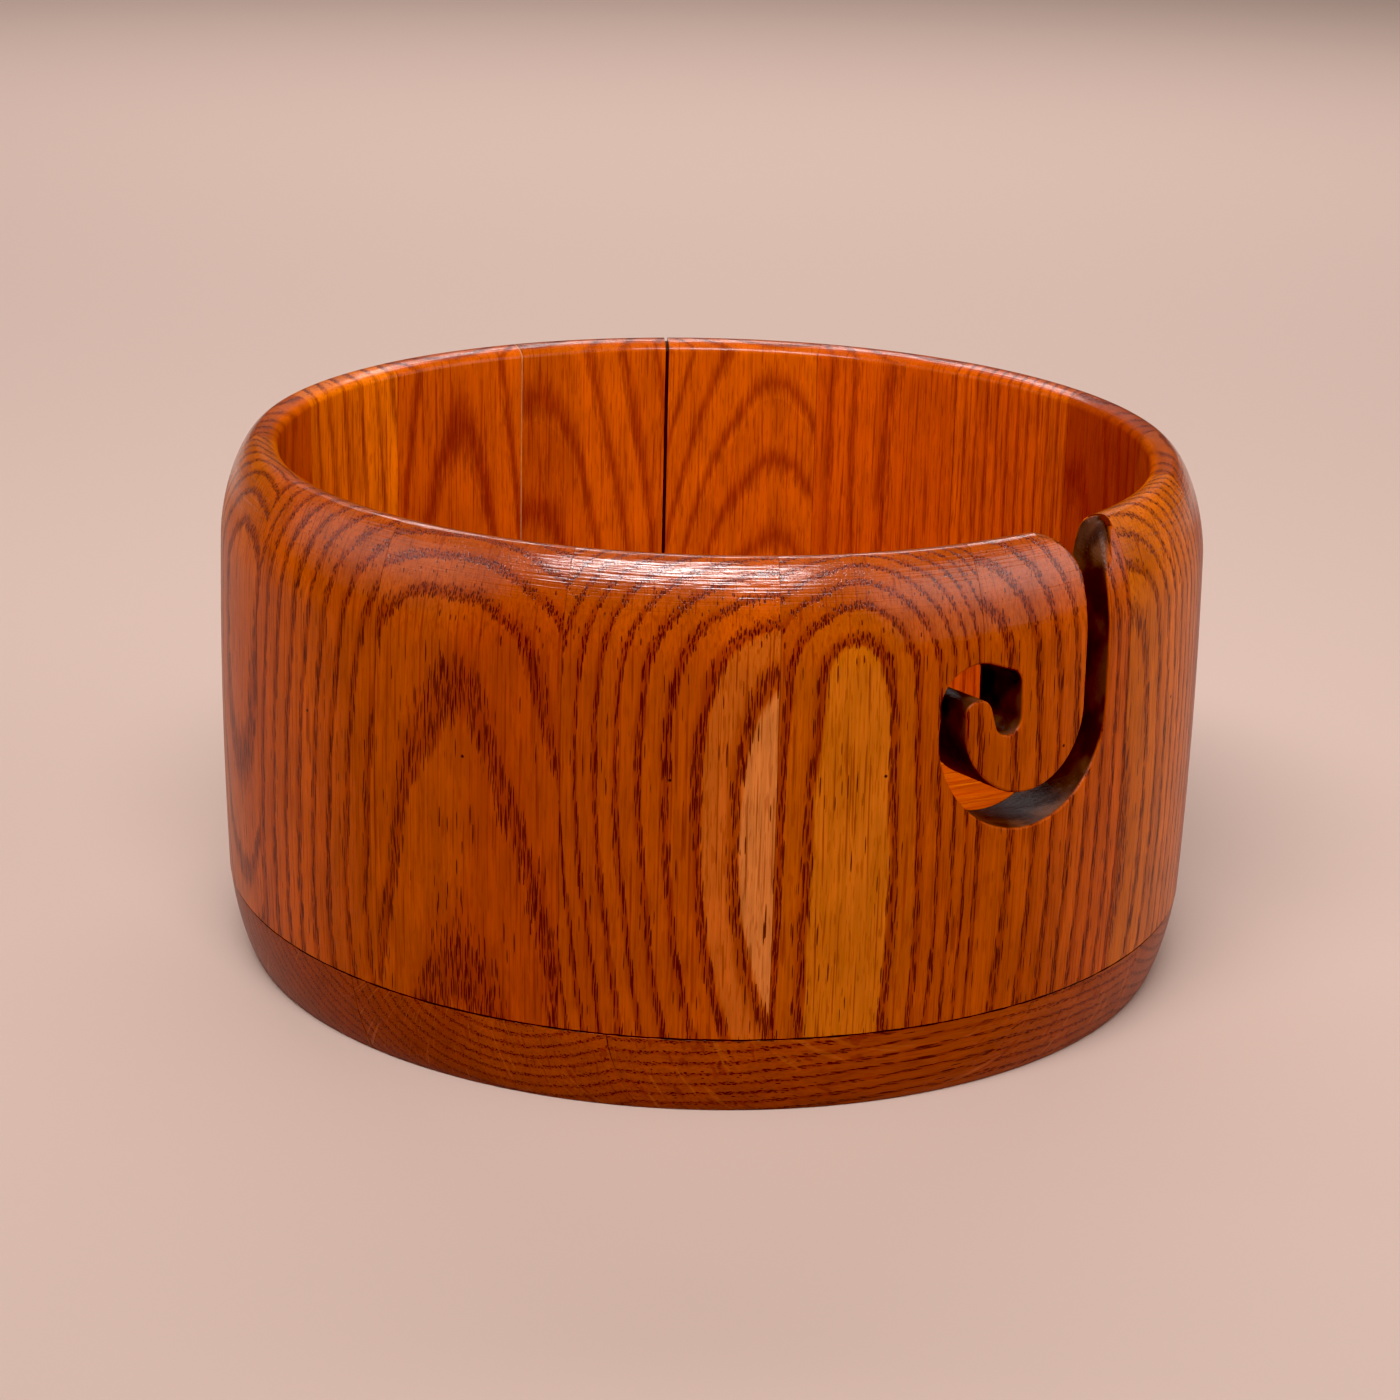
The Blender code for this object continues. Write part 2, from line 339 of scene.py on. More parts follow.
def joint_stain(tree, coordinates, level, radius):
    """Stain gathered in an uneven line along the joint of wall and base."""
    off_joint = sum_node(tree, "ADD", level, -(base_top + glue_width / 2) * 1000)
    off_joint = sum_node(tree, "ABSOLUTE", off_joint)
    gathered = ease_node(tree, grain_noise(tree, coordinates, 260.0, 900.0, 4.1, 2.0),
                         0.35, 0.65, 0.16, 0.34)
    return sum_node(tree, "MULTIPLY", ease_node(tree, radius, 86.9, 87.5),
                    ease_node(tree, off_joint, gathered, sum_node(tree, "MULTIPLY", gathered, 0.6)))


def lathe_marks(tree, across, level, radius):
    """Fine rings round the bowl, as the turning tool leaves them."""
    place = tree.nodes.new("ShaderNodeCombineXYZ")
    for output, per_mm, socket in ((radius, 2.1, 0), (across, 0.05, 1), (level, 2.1, 2)):
        tree.links.new(sum_node(tree, "MULTIPLY", output, per_mm), place.inputs[socket])
    lathe = tree.nodes.new("ShaderNodeTexNoise")
    lathe.inputs["Scale"].default_value = 1.0
    lathe.inputs["Detail"].default_value = 2.0
    tree.links.new(place.outputs[0], lathe.inputs["Vector"])
    return lathe.outputs[0]


def oak(name, turn, board, stained_cut=False):
    """Varnished oak: growth rings round a pith, early bands, pores, rays and stain; some boards carry a
    painted sheen round their heart, and the lighter inside is partly painted light.

    turn rotates the bowl so that X runs across the board, -Y out of its face and Z
    along its fibres, all in millimetres.  A stained cut is a wall of the slot.
    """
    material = bpy.data.materials.new(name)
    material.use_nodes = True
    tree = material.node_tree
    shader = tree.nodes["Principled BSDF"]
    seed = board["seed"]
    coordinates = tree.nodes.new("ShaderNodeTexCoord")
    mapping = tree.nodes.new("ShaderNodeMapping")
    mapping.inputs["Rotation"].default_value = turn
    mapping.inputs["Scale"].default_value = (1000, 1000, 1000)
    tree.links.new(coordinates.outputs["Object"], mapping.inputs["Vector"])
    place = mapping.outputs[0]

    ring = growth_rings(tree, place, board)
    ragged = grain_noise(tree, place, 1.4, 0.12, seed + 2.8)
    ragged = sum_node(tree, "MULTIPLY_ADD", ragged, 0.28, sum_node(tree, "ADD", ring, -0.14))
    pores = open_pores(tree, place, board, 3.5, 4.4, 0.62, 0.03, 1.0)
    vessels = grain_noise(tree, place, 2.8, 0.22, seed + 3.1)
    small_pores = ease_node(tree, vessels, 0.56, 0.64)
    rays = ease_node(tree, grain_noise(tree, place, 2.4, 0.055, seed + 5.9, 0.0, 0.3), 0.66, 0.72)
    mottle = ease_node(tree, grain_noise(tree, place, 0.05, 0.014, seed + 1.3, 2.0), 0.32, 0.68)
    fibre = grain_noise(tree, place, 2.6, 0.03, seed + 9.2, 3.0)
    curl = grain_noise(tree, place, 0.25, 0.10, seed + 6.6, 2.0)

    # The inside is lighter, partly as painted light standing in for the stronger light inside the bowl, and
    # its pores are filled.
    split = tree.nodes.new("ShaderNodeSeparateXYZ")
    tree.links.new(place, split.inputs[0])
    across = split.outputs[0]
    level, radius = bowl_place(tree, coordinates.outputs["Object"])
    in_bore = sum_node(tree, "MULTIPLY", ease_node(tree, radius, 90.0, 88.6),
                       ease_node(tree, level, base_top * 1000 - 0.3, base_top * 1000 - 0.1))
    band = early_band(tree, ragged, ease_node(tree, in_bore, 0.0, 1.0, 0.08, 0.22), 0.50)
    band = sum_node(tree, "MULTIPLY", band, ease_node(tree, in_bore, 0.0, 1.0, 1.0, board["inside"]))
    pores = sum_node(tree, "MULTIPLY", pores, ease_node(tree, in_bore, 0.0, 1.0, 1.0, 0.35))

    # Stain from the left edge to the right, each year's own tone, then bands, pores and rays.
    left_tint, right_tint = board["tints"]
    middle, width = board["change"]
    drift = sum_node(tree, "MULTIPLY_ADD", mottle, width * 1.5,
                     sum_node(tree, "ADD", across, -width * 0.75 - middle))
    tint = tint_node(tree, ease_node(tree, drift, -width, width), left_tint, right_tint)
    year = tree.nodes.new("ShaderNodeTexWhiteNoise")
    year.noise_dimensions = "1D"
    tree.links.new(sum_node(tree, "ADD", sum_node(tree, "FLOOR", ring), seed), year.inputs["W"])
    tint = tint_node(tree, sum_node(tree, "MULTIPLY", year.outputs[0], 0.22), tint, EARLYWOOD)
    # Painted sheen: a paler patch over the rings round the heart stands in for the sheen of the figure.
    heart_sheen, sheen_amount, sheen_tint = board["heart_sheen"]
    palest = ease_node(tree, ring, heart_sheen + 0.05, heart_sheen - 0.05, 0.0, sheen_amount * 0.7)
    next_ring = ease_node(tree, ring, heart_sheen + 1.05, heart_sheen + 0.95, 0.0, sheen_amount * 0.3)
    in_heart_sheen = sum_node(tree, "ADD", palest, next_ring)
    tint = tint_node(tree, in_heart_sheen, tint, sheen_tint)
    tint = tint_node(tree, sum_node(tree, "MULTIPLY", band, board["contrast"]), tint, EARLYWOOD)
    tint = tint_node(tree, sum_node(tree, "MULTIPLY", small_pores, 0.35), tint, EARLYWOOD)
    tint = tint_node(tree, sum_node(tree, "MULTIPLY", pores, 0.92), tint, OPEN_PORE)
    tint = tint_node(tree, sum_node(tree, "MULTIPLY", rays, 0.55), tint, RAY_LINE)
    if board["flecks"]:
        flecks = ray_flecks(tree, place, board)
        tint = tint_node(tree, sum_node(tree, "MULTIPLY", flecks, board["flecks"]), tint, PALE_RAY)
    shade = sum_node(tree, "MULTIPLY", ease_node(tree, fibre, 0.30, 0.70, 0.88, 1.10),
                     ease_node(tree, curl, 0.30, 0.70, 0.90, 1.08))
    tint = tint_node(tree, 1.0, tint, shade, "MULTIPLY")
    # Painted light: the inside tone multiplies the colour lighter where the bowl's inside is more strongly
    # lit.
    inside_tint_and_light = tint_node(tree, 1.0, tint, board["inside_tone_and_light"], "MULTIPLY")
    tint = tint_node(tree, in_bore, tint, inside_tint_and_light)

    tint = tint_node(tree, pin_marks(tree, place), tint, SOOT)
    in_joint = joint_stain(tree, coordinates.outputs["Object"], level, radius)
    tint = tint_node(tree, in_joint, tint, SOOT)
    if stained_cut:
        cut = tree.nodes.new("ShaderNodeAttribute")
        cut.attribute_name = "slot_depth"
        char = ease_node(tree, grain_noise(tree, place, 0.16, 0.12, 3.3, 2.0), 0.35, 0.62)
        dark = tint_node(tree, char, (0.075, 0.026, 0.012), (0.022, 0.008, 0.005))
        tint = tint_node(tree, cut.outputs["Fac"], tint, dark)
    tree.links.new(tint, shader.inputs["Base Color"])

    # Sunken pores under the varnish, faint lathe marks and a slow ripple on top of it.
    ripple = grain_noise(tree, place, 0.22, 0.12, seed + 4.4, 2.0)
    height = sum_node(tree, "MULTIPLY_ADD", pores, -0.50, sum_node(tree, "MULTIPLY", small_pores, -0.18))
    shoulder = sum_node(tree, "MULTIPLY", ease_node(tree, level, 94.0, 101.0),
                        ease_node(tree, radius, 88.0, 90.0))
    turned = sum_node(tree, "MULTIPLY_ADD", shoulder, 2.1, 0.25)
    lathe = lathe_marks(tree, across, level, radius)
    height = sum_node(tree, "MULTIPLY_ADD", lathe, turned, height)
    if stained_cut:
        sawn = grain_noise(tree, place, 1.1, 0.9, 8.8, 3.0)
        height = sum_node(tree, "MULTIPLY_ADD", sawn, 1.6, height)
    coat_height = sum_node(tree, "MULTIPLY_ADD", ripple, 0.5, height)
    bump = tree.nodes.new("ShaderNodeBump")
    bump.inputs["Strength"].default_value = 0.5
    bump.inputs["Distance"].default_value = 0.00012
    tree.links.new(coat_height, bump.inputs["Height"])
    tree.links.new(bump.outputs[0], shader.inputs["Normal"])
    tree.links.new(bump.outputs[0], shader.inputs["Coat Normal"])
    shader.inputs["Roughness"].default_value = 0.42
    shader.inputs["IOR"].default_value = 1.4
    shader.inputs["Specular IOR Level"].default_value = 0.08
    if stained_cut:
        shader.inputs["Coat Weight"].default_value = 0.07
    else:
        varnish = sum_node(tree, "MULTIPLY_ADD", shoulder, 0.70, 0.22)
        tree.links.new(varnish, shader.inputs["Coat Weight"])
    shader.inputs["Coat Roughness"].default_value = 0.32 if stained_cut else 0.12
    shader.inputs["Coat IOR"].default_value = 1.5
    return material


HONEY = (0.265, 0.044, 0.003)
ORANGE = (0.245, 0.035, 0.002)
AMBER = (0.38, 0.082, 0.005)
TAWNY = (0.34, 0.056, 0.004)
# The pale heart and straw colours are painted sheen for the heart patches.
PALE_HEART_SHEEN = (0.43, 0.140, 0.035)
FLAME = (0.33, 0.048, 0.003)
RUSSET = (0.22, 0.030, 0.002)
GOLD = (0.50, 0.105, 0.006)
STRAW_SHEEN = (0.40, 0.108, 0.010)


def board(pith, lean, bow, ring, narrowing=1.0, phase=0.0, tints=(HONEY, ORANGE), seed=1.0,
          wave=1.6, contrast=0.62, heart_sheen=(-99.0, 0.0, PALE_HEART_SHEEN), bend=0.0, oval=1.0,
          change=(0.0, 17.0), inside=0.75, inside_tone_and_light=BORE_TONE_AND_LIGHT, flecks=0.0):
    """Where a board lay in its log, in millimetres, and its colours.

    The pith lies across from the board's middle and in front of its face, negative when it
    lies behind.  It leans, bows and bends over each lean_length of the fibres.  The rings
    have a width, which narrows outwards, an ovalness and a phase.
    """
    return {"pith": pith, "lean": lean, "bow": bow, "ring": ring, "narrowing": narrowing,
            "phase": phase, "tints": tints, "seed": seed, "wave": wave, "contrast": contrast,
            "heart_sheen": heart_sheen, "bend": bend, "oval": oval, "change": change, "inside": inside,
            "inside_tone_and_light": inside_tone_and_light, "flecks": flecks}


# Numbered clockwise from the slot, as seen from above.
boards = {
    1: board(pith=(-38.0, 30.0), lean=(1.0, 1.0), bow=1.0, ring=3.6, tints=(HONEY, TAWNY), seed=1.4),
    2: board(pith=(-8.3, 36.4), lean=(-0.4, 0.2), bow=-0.2, ring=2.6, narrowing=1.14, phase=-0.72,
             tints=(HONEY, HONEY), seed=2.7, heart_sheen=(20.0, 0.60, STRAW_SHEEN), bend=-0.3, oval=0.88),
    3: board(pith=(51.0, 31.8), lean=(-6.8, 4.3), bow=5.0, ring=16.9, narrowing=2.0, phase=-0.62,
             tints=(HONEY, TAWNY), seed=3.3, heart_sheen=(6.0, 0.66, PALE_HEART_SHEEN), bend=-2.9, oval=0.76,
             change=(9.0, 6.0), contrast=0.66),
    4: board(pith=(-0.8, 41.4), lean=(-4.8, 1.7), bow=-0.9, ring=1.97, narrowing=0.95, phase=-0.12,
             tints=(HONEY, ORANGE), seed=4.6, bend=-5.7, oval=0.45),
    5: board(pith=(80.0, 1.0), lean=(2.6, 0.1), bow=5.9, ring=1.8, narrowing=0.95, phase=-0.49,
             tints=(TAWNY, HONEY), seed=5.6, oval=0.45),
    6: board(pith=(17.5, 32.7), lean=(2.8, -2.1), bow=0.4, ring=1.9, phase=-0.57, tints=(AMBER, TAWNY),
             seed=6.2, bend=0.7, oval=0.6),
    7: board(pith=(-30.0, 30.0), lean=(2.0, 2.0), bow=1.0, ring=3.8, tints=(TAWNY, HONEY), seed=7.5),
    # Board 8's gold tint is partly painted light: it lightens the far-left inside, which falls in shade.
    8: board(pith=(62.0, 6.0), lean=(3.0, 1.0), bow=2.0, ring=5.5, tints=(GOLD, GOLD), seed=8.1,
             wave=6.0),
    9: board(pith=(-1.0, 18.7), lean=(0.5, 3.0), bow=0.0, ring=3.6, phase=-0.88, tints=(TAWNY, TAWNY),
             seed=9.8, contrast=0.8, inside=0.95),
    10: board(pith=(18.0, 5.5), lean=(0.0, 8.0), bow=0.0, ring=5.5, phase=-0.55, tints=(TAWNY, HONEY),
              seed=10.2, wave=3.0, contrast=0.7, inside=0.95),
    11: board(pith=(-12.0, 29.7), lean=(0.0, 7.0), bow=0.0, ring=3.2, phase=-0.06,
              tints=(TAWNY, TAWNY), seed=11.6, contrast=0.7, inside=0.95),
    12: board(pith=(-14.0, 22.3), lean=(0.5, 1.0), bow=0.0, ring=3.8, phase=0.37, tints=(FLAME, FLAME),
              seed=12.9, contrast=0.7, inside=0.9),
    13: board(pith=(-60.0, 2.0), lean=(0.5, 1.0), bow=0.0, ring=3.0, tints=(TAWNY, FLAME), seed=13.3,
              wave=0.8, contrast=0.7, inside=0.95),
    14: board(pith=(20.0, 8.0), lean=(-3.0, 6.0), bow=0.0, ring=4.2, tints=(RUSSET, RUSSET), seed=14.7,
              contrast=0.7, inside=0.95),
    15: board(pith=(10.0, 20.0), lean=(4.0, 7.0), bow=1.0, ring=3.8, tints=(TAWNY, HONEY), seed=15.4),
    16: board(pith=(-30.0, 26.0), lean=(1.5, 2.5), bow=1.5, ring=2.9, tints=(AMBER, GOLD), seed=16.8,
              contrast=0.45),
}


def stave_middle(number):
    """Azimuth of a stave's middle."""
    return first_seam - stave_pitch * (number - 0.5)


def half_gap(joint):
    """Half the width of the joint after a stave, in degrees."""
    return math.degrees(joint_gaps.get(joint, glue_width) / 2 / belly_radius)


def make_stave(number):
    """One stave between its two glue lines, in its own oak."""
    end = first_seam - stave_pitch * (number - 1)
    stave = spin_section(f"oak_stave_{number:02d}", wall_section(), end - stave_pitch + half_gap(number),
                         end - half_gap(number - 1), 24)
    turn = (0.0, 0.0, -math.radians(stave_middle(number)))
    stave.data.materials.append(oak(stave.name + "_oak", turn, boards[number]))
    return stave


for number in range(3, 17):
    stave = make_stave(number)
    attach(stave, "root")
    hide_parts(f"stave_{number:02d}")


# ------------------------------------------------------------------- hook slot
# The slot is sawn straight through two glued staves along Y, and its arrises are
# eased with abrasive, more so on the lip right of the mouth.  It parts the mouth
# stave from its tongue and leaves a small tip of the next stave in the curl.
slot_right = 0.01745
slot_left = 0.0111
lip_round = (0.0060, 0.0125)
tongue_round = (0.0100, 0.0100)
outer_centre = (-0.00275, 0.0725)
outer_radius = 0.0202
inner_centre = (-0.0034, 0.0735)
inner_radius = 0.0143
tip_centre = (-0.0149, 0.0755)
tip_radius = 0.0030
curl_centre = (-0.0150, 0.0775)
curl_radius = 0.0078
end_top_centre = (-0.0089, 0.0799)
end_top_radius = 0.0035
end_centre = (-0.0083, 0.0740)
end_radius = 0.0030
eased = 0.0005
lip_eased = 0.0018
lip_eased_from = 0.0965


def slot_arc(centre, radii, start, end, grow):
    """Points on an arc of the slot's outline, its radii grown by an ease."""
    steps = math.ceil(abs(end - start) / 5)
    points = []
    for step in range(steps + 1):
        turn = math.radians(start + (end - start) * step / steps)
        points.append(Vector((centre[0] + (radii[0] + grow) * math.cos(turn), 0.0,
                              centre[1] + (radii[1] + grow) * math.sin(turn))))
    return points


def slot_line(start, end, steps):
    """Points between two points, without either of them."""
    return [start.lerp(end, step / steps) for step in range(1, steps)]


def slot_outline(grow):
    """The slot's closed outline, made wider by an ease on every side."""
    lip_middle = (slot_right + lip_round[0], rim_height - lip_round[1])
    tongue_middle = (slot_left - tongue_round[0], rim_height - tongue_round[1])
    stretches = (
        slot_arc(lip_middle, lip_round, 98, 180, -grow),
        slot_arc(outer_centre, (outer_radius, outer_radius), 0, -190, grow),
        slot_arc(curl_centre, (curl_radius, curl_radius), 175, 65, grow),
        slot_arc(end_top_centre, (end_top_radius, end_top_radius), 60, 0, grow),
        slot_arc(end_centre, (end_radius, end_radius), 0, -150, grow),
        slot_arc(tip_centre, (tip_radius, tip_radius), 20, 170, -grow),
        slot_arc(inner_centre, (inner_radius, inner_radius), 175, 360, -grow),
        slot_arc(tongue_middle, tongue_round, 0, 82, -grow),
    )
    above = Vector((0.0, 0.0, 0.004))
    outline = [stretches[0][0] + above]
    for stretch in stretches:
        if (stretch[0] - outline[-1]).length > 0.002:
            steps = math.ceil((stretch[0] - outline[-1]).length / 0.0015)
            outline += slot_line(outline[-1], stretch[0], steps)
        outline += stretch
    return outline + [outline[-1] + above]


def wall_depth(point, section):
    """How deep a point lies in the wall: its distance to the turned section, negative outside."""
    spot = Vector((math.hypot(point.x, point.y), point.z, 0.0))
    nearest = 1.0
    inside = False
    for near, far in zip(section, section[1:] + section[:1]):
        start = Vector((near[0], near[1], 0.0))
        run = Vector((far[0], far[1], 0.0)) - start
        share = min(max((spot - start).dot(run) / run.length_squared, 0.0), 1.0)
        nearest = min(nearest, (spot - start - run * share).length)
        if (near[1] > spot.y) != (far[1] > spot.y):
            if spot.x < near[0] + (spot.y - near[1]) / (far[1] - near[1]) * (far[0] - near[0]):
                inside = not inside
    return nearest if inside else -nearest


def make_slot_saw():
    """The slot as a solid with its sides flared where they leave the wall, which eases the arrises."""
    section = wall_section()
    outline = slot_outline(0.0)
    grown = slot_outline(0.001)
    saw_mesh = bpy.data.meshes.new("slot_saw")
    saw = bpy.data.objects.new("slot_saw", saw_mesh)
    bpy.context.collection.objects.link(saw)
    shoulder_z = rim_height - shoulder_depth
    shoulder = round_over((crest_radius, rim_height), (belly(shoulder_z), shoulder_z), shoulder_power, 60)
    lip = round_over((crest_radius, rim_height), (bore_radius, rim_height - lip_depth), 2.0, 30)

    def radius_at(curve, z, below):
        if z <= curve[0][1]:
            return below
        for low, high in zip(curve, curve[1:]):
            if z <= high[1]:
                return low[0] + (high[0] - low[0]) * (z - low[1]) / max(high[1] - low[1], 1e-9)
        return curve[-1][0]

    steps_in_ease = (0.0, 0.06, 0.2, 0.45, 0.8, 1.3)
    rings = []
    for spot, wide in zip(outline, grown):
        way = (wide - spot) * 1000
        outside = radius_at(shoulder, spot.z, belly(spot.z))
        inside = radius_at(lip, spot.z, bore_radius)
        front = -math.sqrt(outside ** 2 - spot.x ** 2)
        back = -math.sqrt(inside ** 2 - spot.x ** 2)
        on_lip = spot.x > (slot_left + slot_right) / 2 and spot.z > lip_eased_from
        front_ease = eased
        if on_lip:
            front_ease += (lip_eased - eased) * min((spot.z - lip_eased_from) / 0.003, 1.0)
        half = (back - front) / 2
        places = [(-0.112, front_ease), (front - 0.003, front_ease), (front - 0.0003, front_ease)]
        for share in steps_in_ease:
            places.append((front + min(front_ease * share, half * share / 1.4), front_ease))
        places.append((front + half, eased))
        for share in steps_in_ease[::-1]:
            places.append((back - min(eased * share, half * share / 1.4), eased))
        places += [(back + 0.0003, eased), (back + 0.003, eased), (-0.068, eased)]
        ring = []
        for y, ease in places:
            point = Vector((spot.x, y, spot.z))
            depth = max(wall_depth(point, section), 0.0)
            left = max(1.0 - depth / ease, 0.0)
            point += way * ease * (1.0 - math.sqrt(1.0 - left ** 2))
            ring.append(point)
        rings.append(ring)
    count = len(rings)
    deep = len(rings[0])
    verts = [point for ring in rings for point in ring]
    faces = []
    for i in range(count):
        j = (i + 1) % count
        for k in range(deep - 1):
            faces.append((i * deep + k, j * deep + k, j * deep + k + 1, i * deep + k + 1))
    faces.append([i * deep for i in range(count)])
    faces.append([i * deep + deep - 1 for i in range(count)])
    saw_mesh.from_pydata(verts, [], faces)
    bpy.ops.object.select_all(action="DESELECT")
    bpy.context.view_layer.objects.active = saw
    saw.select_set(True)
    bpy.ops.object.mode_set(mode="EDIT")
    bpy.ops.mesh.select_all(action="SELECT")
    bpy.ops.mesh.normals_make_consistent(inside=False)
    bpy.ops.object.mode_set(mode="OBJECT")
    bpy.ops.object.shade_smooth_by_angle(angle=math.radians(40))
    return saw


def saw_slot(blank, saw, wall_finish):
    """Cut the slot out of a glued-up blank and part what is left; each point keeps its depth."""
    saw.data.materials.clear()
    saw.data.materials.append(wall_finish)
    section = wall_section()
    bpy.ops.object.select_all(action="DESELECT")
    bpy.context.view_layer.objects.active = blank
    blank.select_set(True)
    cut = blank.modifiers.new("slot", "BOOLEAN")
    cut.operation = "DIFFERENCE"
    cut.solver = "EXACT"
    cut.object = saw
    cut.material_mode = "TRANSFER"
    bpy.ops.object.modifier_apply(modifier="slot")
    bpy.ops.mesh.separate(type="LOOSE")
    parts = list(bpy.context.selected_objects)
    for part in parts:
        bpy.context.view_layer.objects.active = part
        bpy.ops.object.shade_smooth_by_angle(angle=math.radians(30))
        depths = part.data.attributes.new("slot_depth", "FLOAT", "POINT")
        for vert in part.data.vertices:
            depth = wall_depth(vert.co, section)
            depths.data[vert.index].value = min(max((depth - 0.0001) / 0.0004, 0.0), 1.0)
    parts.sort(key=lambda part: min(vert.co.z for vert in part.data.vertices))
    return parts


slot_saw = make_slot_saw()
sawn_pieces = {1: ("stave_01_hook", "stave_01_tongue"), 2: ("stave_02_curl", "stave_02_curl_tip")}
for number, names in sawn_pieces.items():
    blank = make_stave(number)
    turn = (0.0, 0.0, -math.radians(stave_middle(number)))
    slot_oak = oak(f"slot_wall_{number}_oak", turn, boards[number], stained_cut=True)
    for part, name in zip(saw_slot(blank, slot_saw, slot_oak), names):
        part.name = "oak_" + name
        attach(part, "root")
        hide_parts(name)


# ------------------------------------------------------------------ glue lines
# A thin film of glue fills each mitre between two staves.  It took the stain, so
# it shows as a hairline; of two joints at the back, one is pale with squeezed-out
# glue and one has opened and is dark.
def glue_material(name, tint):
    """Stained, varnished glue with a little dust in it."""
    material = bpy.data.materials.new(name)
    material.use_nodes = True
    tree = material.node_tree
    shader = tree.nodes["Principled BSDF"]
    coordinates = tree.nodes.new("ShaderNodeTexCoord")
    specks = tree.nodes.new("ShaderNodeTexNoise")
    specks.inputs["Scale"].default_value = 900.0
    tree.links.new(coordinates.outputs["Object"], specks.inputs["Vector"])
    darker = tuple(value * 0.45 for value in tint)
    tree.links.new(tint_node(tree, specks.outputs[0], tint, darker), shader.inputs["Base Color"])
    shader.inputs["Roughness"].default_value = 0.6
    shader.inputs["Specular IOR Level"].default_value = 0.1
    return material


wood_glue = glue_material("stained_glue", (0.13, 0.018, 0.003))
pale_glue = glue_material("squeezed_out_glue", (0.46, 0.19, 0.09))
open_joint = glue_material("open_joint", (0.030, 0.012, 0.007))
glue_sheets = []
for joint in range(16):
    seam = first_seam - stave_pitch * joint
    half = half_gap(joint) * 0.96
    inset = 0.0008 if joint == 10 else 0.00003
    sheet = spin_section(f"glue_{joint:02d}", wall_section(inset), seam - half, seam + half, 1)
    sheet.data.materials.append({9: pale_glue, 10: open_joint}.get(joint, wood_glue))
    if joint == 1:
        glue_sheets += saw_slot(sheet, slot_saw, wood_glue)
    else:
        glue_sheets.append(sheet)
bpy.ops.object.select_all(action="DESELECT")
for sheet in glue_sheets:
    sheet.select_set(True)
bpy.context.view_layer.objects.active = glue_sheets[0]
bpy.ops.object.join()
stave_glue = bpy.context.object
stave_glue.name = "stave_glue_lines"
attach(stave_glue, "root")
bpy.data.objects.remove(slot_saw)


# ------------------------------------------------------------------------ base
# Five oak boards glued edge to edge, fibres level, turned to a round disc with a
# soft lower edge.  The staves stand on it; it took the stain darker, most of all
# on the end grain.
foot_radius = 0.0945
foot_power = 1.36
board_width = 0.0425
board_joint = 0.0384
board_azimuth = -13.0


def turn_base():
    """The whole disc, extruded ring by ring from its foot to its top."""
    edge = round_over((foot_radius, 0.0), (belly(base_top) - arris, base_top - arris), foot_power, 18)[::-1]
    edge.append((belly(base_top) - 2 * arris, base_top))
    bpy.ops.object.select_all(action="DESELECT")
    bpy.ops.mesh.primitive_circle_add(vertices=384, radius=foot_radius, fill_type="NGON")
    disc = bpy.context.object
    bpy.ops.object.mode_set(mode="EDIT")
    bpy.ops.mesh.select_all(action="SELECT")
    for near, far in zip(edge, edge[1:]):
        bpy.ops.mesh.extrude_region_move(TRANSFORM_OT_translate={"value": (0, 0, far[1] - near[1])})
        bpy.ops.transform.resize(value=(far[0] / near[0], far[0] / near[0], 1.0),
                                 center_override=(0, 0, far[1]))
    bpy.ops.mesh.select_all(action="SELECT")
    bpy.ops.mesh.normals_make_consistent(inside=False)
    bpy.ops.object.mode_set(mode="OBJECT")
    return disc


def rip(disc, name, low, high):
    """Copy the disc and keep what lies between two chords, closed along its cuts."""
    bpy.ops.object.select_all(action="DESELECT")
    disc.select_set(True)
    bpy.context.view_layer.objects.active = disc
    bpy.ops.object.duplicate()
    strip = bpy.context.object
    strip.name = name
    way = on_azimuth(1.0, board_azimuth, 0.0)
    bpy.ops.object.mode_set(mode="EDIT")
    for offset, side in ((low, -1), (high, 1)):
        if offset is None:
            continue
        bpy.ops.mesh.select_all(action="SELECT")
        bpy.ops.mesh.bisect(plane_co=way * offset, plane_no=way * side, use_fill=True, clear_outer=True)
    bpy.ops.object.mode_set(mode="OBJECT")
    bpy.ops.object.shade_smooth_by_angle(angle=math.radians(30))
    return strip


BASE_LIGHT = (0.23, 0.040, 0.004)
BASE_DEEP = (0.175, 0.027, 0.003)
lay_down = Matrix.Rotation(-math.pi / 2, 3, "X")
fibre_turn = lay_down @ Matrix.Rotation(-math.radians(board_azimuth + 90), 3, "Z")
base_disc = turn_base()
joints = [board_joint + board_width * (1 - i) for i in range(4)]
uppers = [None] + [joint - glue_width / 2 for joint in joints]
lowers = [joint + glue_width / 2 for joint in joints] + [None]
base_piths = ((-86.0, 70.0), (-64.0, 36.0), (-56.0, 64.0), (-10.0, 40.0), (30.0, 60.0))
for i in range(5):
    name = f"base_board_{i + 1}"
    strip = rip(base_disc, "oak_" + name, lowers[i], uppers[i])
    aside, above = base_piths[i]
    # The inside tone paints the base's top inside the bowl much lighter: painted light falling into the
    # bowl.
    base_grain = board(pith=(aside, -above - face_radius), lean=(2.0, 2.0), bow=1.0, ring=2.3,
                       tints=(BASE_LIGHT, BASE_DEEP), seed=21.0 + i, contrast=0.6,
                       change=(-63.0, 4.0), inside_tone_and_light=(2.2, 2.6, 1.5), flecks=0.35)
    strip.data.materials.append(oak(strip.name + "_oak", fibre_turn.to_euler(), base_grain))
    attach(strip, "root")
    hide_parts(name)


